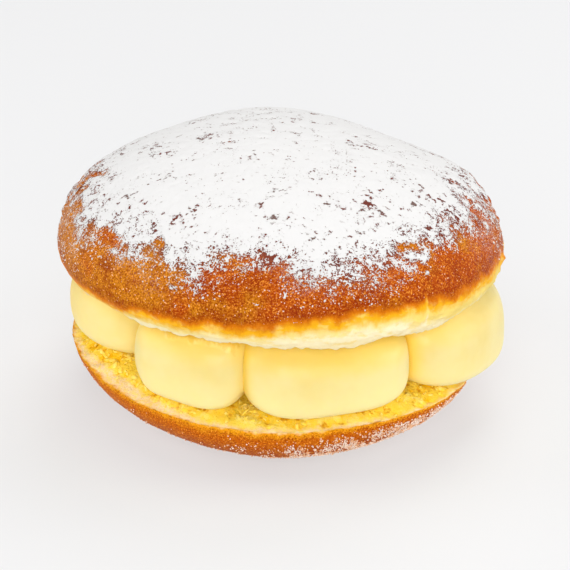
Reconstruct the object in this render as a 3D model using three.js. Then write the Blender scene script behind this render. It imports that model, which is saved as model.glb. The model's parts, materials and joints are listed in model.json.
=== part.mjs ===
// Custard berliner: a fried yeast doughnut cut through the middle, with a ring of piped custard
// dollops between its two halves and powdered sugar over its crown.
//
// Millimetres, +Z up. The front faces -Y and the right side +X. A bearing is an angle round the
// pastry, measured from the front and positive towards the right. A climb is an angle up the
// crown, from 0 at its widest ring to a quarter turn at its apex. Both are in degrees where they
// are listed and in radians inside the functions.

import * as THREE from "three";
import { ParametricGeometry } from "three/addons/geometries/ParametricGeometry.js";
import { ImprovedNoise } from "three/addons/math/ImprovedNoise.js";
import { mergeVertices } from "three/addons/utils/BufferGeometryUtils.js";

// Driving dimensions of the upper half, the crown
const CROWN_RADIUS = 50;
const CROWN_CUT_RADIUS = 47.6;
const CROWN_SKIRT = 3.6;
const CROWN_HEIGHT = 26.2;
const CROWN_LIFT = 33;
const CROWN_FRONT_RAISED = 0.5;
const CROWN_RIGHT_LOWERED = 2.2;
const CROWN_SHIFT_RIGHT = -0.8;

// The dough rose unevenly: broad swells and hollows of the crown, with their spread and rise
const CROWN_SWELLS = [
  { bearing: -62, climb: -8, spread: 18, rise: 0.8 },
  { bearing: 190, climb: 46, spread: 18, rise: 1.2 },
  { bearing: 135, climb: 40, spread: 20, rise: -1.5 },
  { bearing: 108, climb: 26, spread: 12, rise: 1 },
  { bearing: 222, climb: 42, spread: 20, rise: -0.8 },
  { bearing: 20, climb: 30, spread: 26, rise: 0.6 },
];
const CRUST_RELIEF = 0.3;
const CRUST_LUMP = 17;

// Driving dimensions of the lower half, the base
const BASE_RADIUS = 48.3;
const BASE_HEIGHT = 17.3;
const BASE_FLAT_RADIUS = 21;
const BASE_SQUARENESS = 1.95;
const BASE_FRONT_LOWERED = 4;
const BASE_DIP_POWER = 3;

// The base is uneven: where its cut dips, where its rim stands out or in and where its side is fuller
const BASE_SWELLS = [
  { bearing: 80, spread: 32, lowered: 7, widened: -3.6, squared: -0.25 },
  { bearing: -95, spread: 30, lowered: 2, widened: 0.3, squared: -0.15 },
  { bearing: 0, spread: 30, lowered: -0.3, widened: 0.4, squared: 0.45 },
];

// Crumb torn up along the outer band of the base's cut, most in one mound, and along the crown's
// lower edge
const CRUMB_RELIEF = 0.5;
const CRUMB_LUMP = 7;
const CRUMB_BAND = 12;
const CRUMB_MOUND = { bearing: -66, radius: 40, spread: 9, rise: 1.6 };
const TORN_RELIEF = 0.9;
const TORN_LUMP = 10;
const TORN_BAND = 8;

// The piped dollops, in order round the pastry from the left side of the front, with how square
// each is in plan and in the lower half of its section: 2 is round, and larger fills the corners
const DOLLOP_START = -107;
const DOLLOPS = [
  { width: 62.5, reach: 48.4, squareness: 2.6, belly: 2.2 },
  { width: 31.7, reach: 48.6, squareness: 7, belly: 3.2 },
  { width: 51, reach: 49.6, squareness: 4.4, belly: 3.2 },
  { width: 56.8, reach: 50, squareness: 4.2, belly: 3.2 },
  { width: 50, reach: 48.2, squareness: 4.5, belly: 3.2 },
  { width: 56, reach: 48.8, squareness: 5, belly: 3.2 },
  { width: 52, reach: 48, squareness: 4.5, belly: 3.2 },
];
const DOLLOP_TIP_RADIUS = 2.5;
const DOLLOP_SAG = 1.3;

// How square the upper half of every dollop is. Its flanks press against its neighbours right up
// to the crown.
const SHOULDER_SQUARENESS = 4.2;
const FLANK_SQUARENESS = 12;
const CUSTARD_RELIEF = 0.9;
const CUSTARD_LUMP = 20;

// The powdered sugar lies on the crown down to an uneven edge, lower at some bearings
const SUGAR_THICKNESS = 0.6;
const SUGAR_TAPER_POWER = 4;
const SUGAR_EDGE_CLIMB = 30;
const SUGAR_LOBES = [
  { bearing: -40, spread: 30, lowered: 6 },
  { bearing: 20, spread: 25, lowered: 3 },
  { bearing: 75, spread: 30, lowered: -6 },
  { bearing: -95, spread: 25, lowered: -5 },
];
const SUGAR_RAGGED = 3;
const SUGAR_RAGGED_LUMP = 13;

// Clearance between pieces that touch
const GAP = 0.4;

// Where in the noise each kind of unevenness is drawn
const SEEDS = { crust: 0.3, tear: 5.7, sugar: 2.4, crumb: 8.1, custard: 3.3 };

// How finely each solid is divided, round the pastry and along its section
const SIDES = 72;
const CROWN_CUT_RINGS = 6;
const CROWN_CRUST_RINGS = 16;
const BASE_FLAT_RINGS = 2;
const BASE_CRUST_RINGS = 8;
const BASE_CUT_RINGS = 8;
const SUGAR_RINGS = 9;
const DOLLOP_SIDES = 32;
const DOLLOP_RINGS = 14;
const MERGE_DISTANCE = 1e-4;

const FULL_TURN = Math.PI * 2;
const QUARTER_TURN = Math.PI / 2;
const { degToRad, radToDeg, lerp, euclideanModulo, smoothstep } = THREE.MathUtils;
const noise = new ImprovedNoise();

const crustMaterial = new THREE.MeshStandardMaterial({ color: 0xc8701f, roughness: 0.6, metalness: 0 });
const crumbMaterial = new THREE.MeshStandardMaterial({ color: 0xe8992e, roughness: 0.75, metalness: 0 });
const custardMaterial = new THREE.MeshStandardMaterial({ color: 0xfbe694, roughness: 0.4, metalness: 0 });
const sugarMaterial = new THREE.MeshStandardMaterial({ color: 0xf7f6f4, roughness: 0.9, metalness: 0 });

// A closed solid from a surface that runs once round (u) and from one pole to the other (v)
function solid(name, surface, sides, rings, material) {
  const sheet = new ParametricGeometry(surface, sides, rings);
  sheet.deleteAttribute("normal");
  sheet.deleteAttribute("uv");
  const closed = mergeVertices(sheet, MERGE_DISTANCE);
  closed.setIndex(trianglesWithArea(closed.index.array));
  closed.computeVertexNormals();
  const mesh = new THREE.Mesh(closed, material);
  mesh.name = name;
  return mesh;
}

// The triangles of an index list, without those that shrank to a line at a pole
function trianglesWithArea(index) {
  const kept = [];
  for (let start = 0; start < index.length; start += 3) {
    const [a, b, c] = index.slice(start, start + 3);
    if (a !== b && b !== c && c !== a) kept.push(a, b, c);
  }
  return kept;
}

// Smooth unevenness between -1 and 1, with lumps of the given size
function lumps(x, y, z, size, seed) {
  return noise.noise(x / size + seed, y / size + seed, z / size + seed);
}

// A bell-shaped weight: 1 at distance 0, fading over the spread
function bell(distance, spread) {
  return Math.exp(-((distance / spread) ** 2));
}

// How many degrees a turn lies from a bearing, the shorter way round
function degreesFrom(turn, bearing) {
  return euclideanModulo(radToDeg(turn) - bearing + 180, 360) - 180;
}

// The sum of one listed amount at a turn round the pastry, each entry fading over its spread
function sumAround(entries, key, turn) {
  let sum = 0;
  for (const entry of entries) {
    sum += entry[key] * bell(degreesFrom(turn, entry.bearing), entry.spread);
  }
  return sum;
}

// How far a point of the unit circle moves out to lie on a rounded square
function squareOut(across, up, squareness) {
  return (Math.abs(across) ** squareness + Math.abs(up) ** squareness) ** (-1 / squareness);
}

// Crown
const rimClimb = -Math.acos(CROWN_CUT_RADIUS / CROWN_RADIUS);

// How far the crust stands off the plain dome
function crownSwell(turn, climb) {
  let rise = 0;
  for (const swell of CROWN_SWELLS) {
    const aside = degreesFrom(turn, swell.bearing) * Math.cos(climb);
    const above = radToDeg(climb) - swell.climb;
    rise += swell.rise * bell(Math.hypot(aside, above), swell.spread);
  }
  return rise;
}

// A point of the crust, or of a layer that lies on it at the given lift
function crustPoint(turn, climb, lift, target) {
  const side = Math.sin(turn);
  const front = -Math.cos(turn);
  const radius = CROWN_RADIUS * Math.cos(climb);
  const reach = climb < 0 ? CROWN_SKIRT / Math.sin(-rimClimb) : CROWN_HEIGHT - CROWN_SKIRT;
  target.set(side * radius, front * radius, CROWN_SKIRT + reach * Math.sin(climb));
  const relief = CRUST_RELIEF * lumps(target.x, target.y, target.z, CRUST_LUMP, SEEDS.crust);
  const off = crownSwell(turn, climb) + relief + lift;
  target.x += side * Math.cos(climb) * off;
  target.y += front * Math.cos(climb) * off;
  target.z += Math.sin(climb) * off;
}

// How far the torn crumb stands off the crown's cut, along its outer band
function crownTear(x, y) {
  const torn = smoothstep(Math.hypot(x, y), CROWN_CUT_RADIUS - TORN_BAND, CROWN_CUT_RADIUS);
  return TORN_RELIEF * lumps(x, y, 0, TORN_LUMP, SEEDS.tear) * torn;
}

// From the middle of the cut out to its torn edge, then up over the crust to the apex
function crownSurface(u, v, target) {
  const turn = u * FULL_TURN;
  const ring = v * (CROWN_CUT_RINGS + CROWN_CRUST_RINGS);
  const share = Math.min(ring / CROWN_CUT_RINGS, 1);
  const climb = lerp(rimClimb, QUARTER_TURN, Math.max(ring - CROWN_CUT_RINGS, 0) / CROWN_CRUST_RINGS);
  crustPoint(turn, climb, 0, target);
  if (climb > rimClimb) return;
  target.x *= share;
  target.y *= share;
  target.z = crownTear(target.x, target.y);
}

// Powdered sugar
function sugarEdge(turn) {
  const side = CROWN_RADIUS * Math.sin(turn);
  const front = -CROWN_RADIUS * Math.cos(turn);
  const ragged = SUGAR_RAGGED * lumps(side, front, 0, SUGAR_RAGGED_LUMP, SEEDS.sugar);
  return degToRad(SUGAR_EDGE_CLIMB - sumAround(SUGAR_LOBES, "lowered", turn) + ragged);
}

// From the apex down under the sugar to its thin edge, then back up over it
function sugarSurface(u, v, target) {
  const turn = u * FULL_TURN;
  const fromApex = 1 - Math.abs(2 * v - 1);
  const thickness = v < 0.5 ? 0 : SUGAR_THICKNESS * (1 - fromApex ** SUGAR_TAPER_POWER);
  crustPoint(turn, lerp(QUARTER_TURN, sugarEdge(turn), fromApex), GAP + thickness, target);
}

// Base

// Height of the base's cut at a place, with the crumb torn up along its outer band
function baseCut(x, y) {
  const radius = Math.hypot(x, y);
  const slope = Math.tan(degToRad(BASE_FRONT_LOWERED));
  const dip = sumAround(BASE_SWELLS, "lowered", Math.atan2(x, -y)) * (radius / BASE_RADIUS) ** BASE_DIP_POWER;
  const torn = smoothstep(radius, BASE_RADIUS - CRUMB_BAND, BASE_RADIUS - CRUMB_BAND / 2);
  const crumb = CRUMB_RELIEF * lumps(x, y, 0, CRUMB_LUMP, SEEDS.crumb) * torn;
  return BASE_HEIGHT + y * slope - dip + crumb + crumbMound(x, y);
}

// How far the mound of torn crumb stands up at a place
function crumbMound(x, y) {
  const turn = degToRad(CRUMB_MOUND.bearing);
  const aside = x - CRUMB_MOUND.radius * Math.sin(turn);
  const ahead = y + CRUMB_MOUND.radius * Math.cos(turn);
  return CRUMB_MOUND.rise * bell(Math.hypot(aside, ahead), CRUMB_MOUND.spread);
}

// From the middle of the flat underside out and up the crust, then in over the cut
function baseSurface(u, v, target) {
  const side = Math.sin(u * FULL_TURN);
  const front = -Math.cos(u * FULL_TURN);
  const rim = BASE_RADIUS + sumAround(BASE_SWELLS, "widened", u * FULL_TURN);
  const squareness = BASE_SQUARENESS + sumAround(BASE_SWELLS, "squared", u * FULL_TURN);
  const ring = v * (BASE_FLAT_RINGS + BASE_CRUST_RINGS + BASE_CUT_RINGS);
  const upCrust = (ring - BASE_FLAT_RINGS) / BASE_CRUST_RINGS;
  if (upCrust <= 0) {
    const radius = BASE_FLAT_RADIUS * ring / BASE_FLAT_RINGS;
    target.set(side * radius, front * radius, 0);
    return;
  }
  if (upCrust < 1) {
    const across = Math.sin(upCrust * QUARTER_TURN);
    const down = Math.cos(upCrust * QUARTER_TURN);
    const scale = squareOut(across, down, squareness);
    const radius = lerp(BASE_FLAT_RADIUS, rim, across * scale);
    const height = baseCut(side * rim, front * rim) * (1 - down * scale);
    target.set(side * radius, front * radius, height);
    return;
  }
  const radius = rim * (1 - (upCrust - 1) * BASE_CRUST_RINGS / BASE_CUT_RINGS);
  target.set(side * radius, front * radius, baseCut(side * radius, front * radius));
}

// Custard

// A dollop fills its sector from near the axis to its reach, rounded in on every side
function dollopSurface(start, dollop, crownCut) {
  const middle = degToRad(start + dollop.width / 2);
  const halfWidth = degToRad(dollop.width / 2);
  const halfLength = (dollop.reach - DOLLOP_TIP_RADIUS) / 2;
  return (u, v, target) => {
    const around = u * FULL_TURN;
    const up = (v - 0.5) * Math.PI;
    const section = up < 0 ? dollop.belly : SHOULDER_SQUARENESS;
    const sectionScale = squareOut(Math.cos(up), Math.sin(up), section);
    const planScale = squareOut(Math.cos(around), Math.sin(around), dollop.squareness);
    const girth = Math.cos(up) * sectionScale;
    const level = Math.sin(up) * sectionScale;
    const flank = up < 0 ? girth : Math.max(1 - level ** FLANK_SQUARENESS, 0) ** (1 / FLANK_SQUARENESS);
    const out = Math.cos(around) * planScale * girth;
    const aside = Math.sin(around) * planScale * flank;
    const height = ((1 + level) / 2) ** DOLLOP_SAG;
    const plain = DOLLOP_TIP_RADIUS + halfLength * (1 + out);
    const turn = middle + aside * (halfWidth - Math.asin(GAP / 2 / plain));
    const side = Math.sin(turn);
    const front = -Math.cos(turn);
    const uneven = lumps(side * plain, front * plain, height * CUSTARD_LUMP, CUSTARD_LUMP, SEEDS.custard);
    const radius = plain + CUSTARD_RELIEF * uneven * Math.max(out, 0);
    const x = side * radius;
    const y = front * radius;
    target.set(x, y, lerp(baseCut(x, y) + GAP, crownCut(x, y) - GAP, height));
  };
}

// Height of the crown's cut over a place on the base
function crownCutHeight(crown) {
  const normal = new THREE.Vector3(0, 0, 1).applyQuaternion(crown.quaternion);
  const { x: middleX, y: middleY, z: middleZ } = crown.position;
  return (x, y) => middleZ - ((x - middleX) * normal.x + (y - middleY) * normal.y) / normal.z;
}

// The whole pastry, set with the middle of its footprint at the origin
function berliner() {
  const pastry = new THREE.Group();

  const crown = new THREE.Group();
  crown.position.set(CROWN_SHIFT_RIGHT, 0, CROWN_LIFT);
  crown.rotation.set(-degToRad(CROWN_FRONT_RAISED), degToRad(CROWN_RIGHT_LOWERED), 0);
  const crownRings = CROWN_CUT_RINGS + CROWN_CRUST_RINGS;
  crown.add(solid("top_half", crownSurface, SIDES, crownRings, crustMaterial));
  crown.add(solid("powdered_sugar", sugarSurface, SIDES, SUGAR_RINGS * 2, sugarMaterial));
  pastry.add(crown);

  const baseRings = BASE_FLAT_RINGS + BASE_CRUST_RINGS + BASE_CUT_RINGS;
  pastry.add(solid("bottom_half", baseSurface, SIDES, baseRings, crumbMaterial));

  const crownCut = crownCutHeight(crown);
  let start = DOLLOP_START;
  DOLLOPS.forEach((dollop, index) => {
    const surface = dollopSurface(start, dollop, crownCut);
    const name = `custard_dollop_${index + 1}`;
    pastry.add(solid(name, surface, DOLLOP_SIDES, DOLLOP_RINGS, custardMaterial));
    start += dollop.width;
  });

  const box = new THREE.Box3().setFromObject(pastry, true);
  const middle = box.getCenter(new THREE.Vector3());
  pastry.position.set(-middle.x, -middle.y, -box.min.z);
  return new THREE.Group().add(pastry);
}

export default berliner();
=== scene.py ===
"""Dresses a custard berliner: crust, torn crumb, custard, powdered sugar and sugar grains.

Lengths are in metres, as in the frame, and MM turns millimetres into them. A bearing is an angle
round the pastry in degrees, from the front (-Y) and positive towards the right (+X). A climb is an
angle up the crown in degrees, from 0 at its widest ring to 90 at its apex.
"""

import json
import math

import bmesh
import bpy
import numpy as np
from bpy.props import FloatProperty, FloatVectorProperty, IntProperty, PointerProperty
from bpy.types import Operator, Panel, PropertyGroup
from mathutils import Euler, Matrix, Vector, noise
from mathutils.kdtree import KDTree

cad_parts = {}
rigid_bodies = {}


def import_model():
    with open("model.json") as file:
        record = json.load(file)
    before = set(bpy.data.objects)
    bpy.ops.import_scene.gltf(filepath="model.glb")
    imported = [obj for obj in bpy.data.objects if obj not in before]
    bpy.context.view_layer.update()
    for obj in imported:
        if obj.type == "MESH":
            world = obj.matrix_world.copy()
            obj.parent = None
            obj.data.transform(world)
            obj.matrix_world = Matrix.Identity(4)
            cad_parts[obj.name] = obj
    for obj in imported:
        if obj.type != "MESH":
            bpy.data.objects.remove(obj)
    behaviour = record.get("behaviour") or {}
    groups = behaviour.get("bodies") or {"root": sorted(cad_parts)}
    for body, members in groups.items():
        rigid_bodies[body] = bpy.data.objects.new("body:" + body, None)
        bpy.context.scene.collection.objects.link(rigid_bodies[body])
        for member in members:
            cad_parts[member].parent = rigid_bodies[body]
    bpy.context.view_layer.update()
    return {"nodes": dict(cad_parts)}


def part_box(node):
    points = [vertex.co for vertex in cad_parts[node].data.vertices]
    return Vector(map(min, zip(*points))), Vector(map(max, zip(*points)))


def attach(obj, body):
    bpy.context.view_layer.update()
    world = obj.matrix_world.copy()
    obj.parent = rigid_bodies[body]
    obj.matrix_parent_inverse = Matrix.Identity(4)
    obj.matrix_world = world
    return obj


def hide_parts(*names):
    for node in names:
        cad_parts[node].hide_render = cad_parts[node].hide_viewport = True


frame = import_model()

bl_info = {
    "name": "Berliner Doughnut",
    "version": (1, 0, 0),
    "blender": (4, 5, 0),
    "location": "View3D > Sidebar > Berliner",
    "description": "Dresses the solids of a custard berliner with crust, crumb, custard and sugar",
    "category": "Add Mesh",
}

MM = 0.001
MERGE_DISTANCE = 0.001 * MM
BODY = "root"

# How the crown sits on the base, and the curve of its dome
CROWN_LOW, CROWN_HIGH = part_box("top_half")
CROWN_RADIUS = (CROWN_HIGH.x - CROWN_LOW.x) / 2
CROWN_LIFT = 33 * MM
CROWN_SKIRT = 3.6 * MM
CROWN_RISE = 22.6 * MM
CROWN_MIDDLE = Vector(((CROWN_LOW.x + CROWN_HIGH.x) / 2, (CROWN_LOW.y + CROWN_HIGH.y) / 2, CROWN_LIFT))
CROWN_TILT = Euler((math.radians(-0.5), math.radians(2.2), 0), "ZYX")
CUT_RADIUS = 47.6 * MM
BASE_LOW, BASE_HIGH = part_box("bottom_half")
BASE_MIDDLE = (BASE_LOW + BASE_HIGH) / 2

# How finely each solid is divided, and the angle past which its edges stay sharp
CROWN_LEVELS = 3
BASE_LEVELS = 3
DOLLOP_LEVELS = 3
CROWN_SHARP = math.radians(33)
BASE_SHARP = math.radians(50)

# Height of the crust's lower edge above the crown's cut, in millimetres, by bearing
CRUST_EDGE = (
    (-110, 3.2), (-85, 2.6), (-58, 1.9), (-45, 2.1), (-38, 2.6), (-27, 2.9), (-18, 3.7), (-7, 4.6), (4, 6),
    (15, 6.9), (27, 6.8), (36, 6.4), (46, 5.8), (64, 5.7), (85, 5), (120, 4.2), (180, 4),
)

# How many millimetres higher the torn lip turns white, by bearing
LIP_WHITE = ((-60, 0.6), (-30, 1), (0, 1.6), (25, 1), (45, -1), (80, -1), (180, 0.5))

# How much lighter (more than 0) or darker the crust browned, by bearing
TAN = (
    (-100, 0.05), (-65, 0.1), (-35, 0.1), (-15, -0.06), (0, -0.13), (20, -0.12), (40, -0.09), (70, -0.12),
    (180, 0),
)

# Climb at which half of the crust is white, and how many degrees lower the specks end, by bearing
SUGAR_EDGE = (
    (-110, 27), (-90, 28), (-80, 30), (-70, 26), (-60, 27), (-50, 28), (-40, 25), (-30, 25.5), (-20, 27.5),
    (-11, 31.5), (-4, 34.5), (2, 33.5), (8, 28), (20, 27), (30, 28), (40, 31.5), (50, 29.8), (60, 32),
    (70, 31), (80, 27), (97, 27), (140, 28), (180, 30),
)
SPECK_DEPTH = (
    (-90, 20), (-70, 18), (-50, 9), (-40, 7), (-20, 8), (-10, 8), (0, 12), (10, 10), (20, 10.5), (30, 7),
    (40, 6), (50, 4), (60, 6), (70, 10), (81, 16), (130, 10), (180, 10),
)

# Degrees of climb over which the sugar's cover grows by 1, and its least and greatest cover
COVER_CLIMB = 9
COVER_LEAST = -4
COVER_MOST = 1.6

# Single patches where the sugar lies thicker or the crust is bare: bearing, climb, spread, amount
SUGAR_PATCHES = (
    (-37.8, 32.6, 2, -2.2), (-6.2, 15.5, 1.2, 1.8), (-28.4, 16.4, 1.4, 1.6), (-52, 25, 2.6, -1.6),
    (-49.5, 21.8, 1.2, 1.6), (36, 35, 1.7, -1.5), (40.5, 34, 1.7, -1.5), (37, 30, 1.3, 1.5),
    (41, 28, 1.3, 1.5), (40, 22.3, 0.9, 2), (-84, 36, 6, -0.6), (80, 41, 8, -0.5),
)

# Where the sugar has more pits than elsewhere: bearing, climb, spread, amount
PITTED_PATCHES = (
    (84, 43, 12, 0.05), (38, 51, 9, 0.03), (-36, 43, 7, 0.05), (-60, 46, 8, 0.05),
    (25, 60, 12, 0.03), (60, 44, 8, 0.05), (-84, 44, 12, 0.05),
)

# How patchy the sugar lies in front, and how much patchier at the sides
PATCHINESS = 0.6
SIDE_PATCHINESS = 0.9

# Where a haze of fine powder lies on the crust: bearing, climb, spread, amount
HAZE_PATCHES = (
    (4, 31, 3.5, 0.8), (6, 26, 3.5, 0.7), (-80, 22, 10, 0.34), (-74, 10, 11, 0.18), (76, 18, 12, 0.34),
    (-44, 24, 6, 0.2), (-33, 15, 5, 0.12),
)

# The pale fold where two lobes of the crust meet, and the small nub at the right side of the crust
FOLD = {"bearing": 37.2, "spread": 0.45, "rise": 1.7 * MM}
NUB = {"bearing": 78, "climb": 3, "spread": 1.6, "rise": 0.9 * MM}

# Width of the pale collar along the base's rim, in millimetres, by bearing
COLLAR = (
    (-120, 1.6), (-88, 0.2), (-68, 1.4), (-50, 2.8), (-20, 1.2), (20, 1.1), (45, 0.6), (110, 1.4),
    (180, 2.2),
)

# How far the base's crust reaches in over its rim, in millimetres, by bearing
CRUST_REACH = ((-120, 0.5), (-66, 0.8), (-45, 0.8), (-20, 0.3), (0, 0), (120, 0), (180, 0.3))

# How much faster the base's crust browns downwards, by bearing
BROWNING = (
    (-120, 0.8), (-85, 1.2), (-60, 0.7), (-20, 0.75), (15, 1), (40, 1.7), (75, 2), (120, 1.2), (180, 1),
)

# How far each dollop presses over its neighbours, as a share, in the order of their numbers
PRESS_SHARES = (0.5, 1.5, 0.7, 0.5, 1.1, 0.7, 1.1)

# How far each dollop's foot is tucked in at its left, in millimetres, in the order of their numbers
TUCKS = (0, 1.8, 0.4, 0, 0, 0, 0)

# Number of the dollop that the crown smeared when it was set on
SMEARED = 2

# Heights up to which a dollop's foot gets painted light (a lighter tint), is tucked in and is pressed less
FOOT_TINT = 13 * MM
FOOT_TUCK = 9 * MM
FOOT_PRESS = 7 * MM

# How near another dollop a crease gets painted shade, and how near the custard the crumb is tinted, partly
# as soaked crumb and partly as painted shade, and rises
CREASE_REACH = 2.6 * MM
CRUMB_TINT = 2.6 * MM
CRUMB_RISE = 1.2 * MM

# Sides of the pastry that look different: middle bearing and spread, in degrees. The custard gets least
# painted shade on the open side and painted shade all over on the dim side
SIDES = {"open": (80, 24), "dim": (-92, 24), "bare": (44, 16), "sugared": (29, 33), "back": (170, 60)}

# Draw, roundness, variety, form, tilt, rise and unevenness of the scattered things
FLECKS = dict(seed=31, rounds=1, vary=0.35, stretch=0.3, form=(1, 1, 0.7), tip=0, rise=0.25, uneven=0.2)
SHREDS = dict(seed=47, rounds=2, vary=0.35, stretch=0.3, form=(1, 0.55, 0.3), tip=0.5, rise=0, uneven=0.35)
CRYSTALS = dict(seed=59, rounds=0, vary=0.25, stretch=0.25, form=(1, 1, 1), tip=0.6, rise=0.4, uneven=0.12)

# Chance that a scattered thing lies where none belong, so that there always is a place for it
LEAST_WEIGHT = 1e-9

# How deep red, green and blue light go into custard and crumb, as shares
WARM_DEPTHS = (1.0, 0.7, 0.3)

# Half the width of the floor, and the nearest that the camera sees
FLOOR_REACH = 6
NEAR_CLIP = 10 * MM

# Bearing and elevation of each lamp, in degrees
LAMP_PLACES = {"front": (0, 25), "left": (-92, 25), "right": (92, 25), "back": (158, 54), "top": (0, 89)}

# Shift of each kind of unevenness, so that no two are alike
SEEDS = {
    "crust": 1.3, "edge": 4.1, "torn": 7.7, "sugar": 11.2, "pits": 15.9, "flecks": 16.2, "crumb": 19.4,
    "smear": 23.8,
}


def colour(red, green, blue):
    """A linear colour from the everyday 0 to 255 scale."""
    shares = [value / 255 for value in (red, green, blue)]
    return tuple(s / 12.92 if s <= 0.04045 else ((s + 0.055) / 1.055) ** 2.4 for s in shares)


def colour_property(name, description, default):
    """A colour that a user can change."""
    return FloatVectorProperty(
        name=name, description=description, default=colour(*default), subtype="COLOR", size=3, min=0, max=1,
    )


def length_property(name, description, millimetres):
    """A length that a user can change, given in millimetres."""
    return FloatProperty(
        name=name, description=description, default=millimetres * MM, min=0,
        subtype="DISTANCE", unit="LENGTH",
    )


def light_property(name, description, strength, unit="POWER"):
    """The power of a lamp or another light's strength, which a user can change."""
    return FloatProperty(name=name, description=description, default=strength, min=0, unit=unit)


def count_property(name, description, count):
    """A number of things, which a user can change."""
    return IntProperty(name=name, description=description, default=count, min=0)


class CrownLooks(PropertyGroup):
    """The upper half: its browned crust and the pale ring below it."""

    dark: colour_property("Dark crust", "Crust where it browned most", (132, 38, 3))
    brown: colour_property("Brown crust", "Most of the crust", (178, 76, 2))
    golden: colour_property("Golden crust", "Crust where it browned least", (192, 116, 8))
    # Painted highlights: the bright grain and the sparkles are partly painted glints of the oily crust,
    # partly bright grain and specks of powder
    glint: colour_property("Bright grain", "Fine bright grain of the crust", (230, 150, 54))
    sparkle: colour_property("Sparkles", "Single bright grains of the crust", (246, 206, 170))
    orange: colour_property("Orange crust", "Lowest part of the crust", (214, 116, 4))
    amber: colour_property("Amber", "Where the crust fades into the pale ring", (236, 172, 26))
    pale: colour_property("Pale ring", "Dough that the fat did not reach", (238, 210, 116))
    lip: colour_property("Torn lip", "Torn crumb along the cut", (243, 230, 190))
    pebble: length_property("Pebble size", "Size of the crust's fine grain", 0.36)
    relief: length_property("Crust relief", "How far the crust's lumps stand out", 0.12)
    torn: length_property("Torn relief", "How far the torn lip stands out", 1.0)


class SugarLooks(PropertyGroup):
    """The powdered sugar on the crown and the loose flecks of it below."""

    white: colour_property("Powder", "Powdered sugar", (217, 216, 215))
    # The pit colour is crust darkened by painted shade at the bottom of the pits
    pit_shade: colour_property("Pits", "Crust at the bottom of small pits in the sugar", (108, 50, 40))
    shade: colour_property("Shaded pits", "Bottom of small pits where the sugar lies thick", (112, 90, 84))
    pit_size: length_property("Pit size", "Size of the small pits", 1.3)
    thickness: length_property("Thickness", "How thick the sugar lies in the middle", 0.8)
    speck: length_property("Speck size", "Size of the specks at the sugar's edge", 0.6)
    fleck_shade: colour_property("Shaded powder", "Shaded side of the loose flecks", (232, 214, 200))
    flecks: count_property("Flecks", "Loose flecks of powder on the crust", 3600)
    fleck: length_property("Fleck size", "Mean size of a loose fleck", 0.25)


class CustardLooks(PropertyGroup):
    """The piped custard between the halves."""

    cream: colour_property("Custard", "Most of the custard", (230, 214, 146))
    rich: colour_property("Rich custard", "Where the custard is a little yellower", (228, 206, 126))
    # The deep colour is painted shade: custard in the creases and under the crown's lip
    deep: colour_property("Deep custard", "Custard in the creases and under the crown", (251, 210, 70))
    # The foot colour is painted light: lighter custard where the foot turns under into shade
    foot: colour_property("Foot", "Foot of the dollops, which the crumb lights", (248, 232, 160))
    dragged: colour_property("Smeared custard", "Custard that the crown smeared", (230, 184, 56))
    swell: length_property("Swell", "How far the dollops press out to meet each other", 0.35)
    press: length_property("Press", "How far a dollop presses over its neighbours", 1.5)
    smear: length_property("Smear", "How far custard dragged by the crown stands out", 0.6)
    squeeze: length_property("Squeeze", "How far the crown squeezes the custard out below its lip", 0.8)


class BaseLooks(PropertyGroup):
    """The lower half: its torn crumb, pale rim and browned crust."""

    crumb: colour_property("Crumb", "Torn crumb of the cut", (255, 220, 80))
    # Pores and holes are partly painted shade in the crumb's hollows and beside the custard, flakes partly
    # painted light on its raised parts
    pore: colour_property("Pores", "Deep pores of the crumb", (255, 202, 28))
    hole: colour_property("Holes", "Torn holes beside the custard", (210, 138, 6))
    flake: colour_property("Flakes", "Raised flakes and strands of the crumb", (255, 234, 140))
    rim: colour_property("Rim", "Pale rim below the cut", (252, 220, 176))
    golden: colour_property("Golden crust", "Crust just below the rim", (236, 160, 16))
    orange: colour_property("Orange crust", "Crust along the side", (198, 98, 4))
    brown: colour_property("Brown crust", "Crust near the underside", (168, 74, 10))
    dark: colour_property("Dark grain", "Fine dark grain of the crust", (150, 56, 2))
    # The bright grain is partly painted glints of the oily crust
    glint: colour_property("Bright grain", "Fine bright grain of the crust", (246, 172, 56))
    relief: length_property("Crumb relief", "How far the torn crumb stands out", 0.6)
    slope: length_property("Slope", "How far the crumb falls towards its rim", 1.1)
    fillet: length_property("Fillet", "How far the crumb rises where the custard sits on it", 0.7)
    shreds: count_property("Shreds", "Torn strands of crumb on the cut", 1100)
    shred: length_property("Shred length", "Mean length of a torn strand", 1.1)
    clear: colour_property("Clear crystals", "Sugar grains that stay white", (242, 218, 200))
    warm: colour_property("Warm crystals", "Sugar grains that the crust shows through", (228, 170, 126))
    crystals: count_property("Crystals", "Sugar grains on the crust", 12000)
    crystal: length_property("Crystal size", "Mean size of a sugar grain", 0.22)


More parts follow.
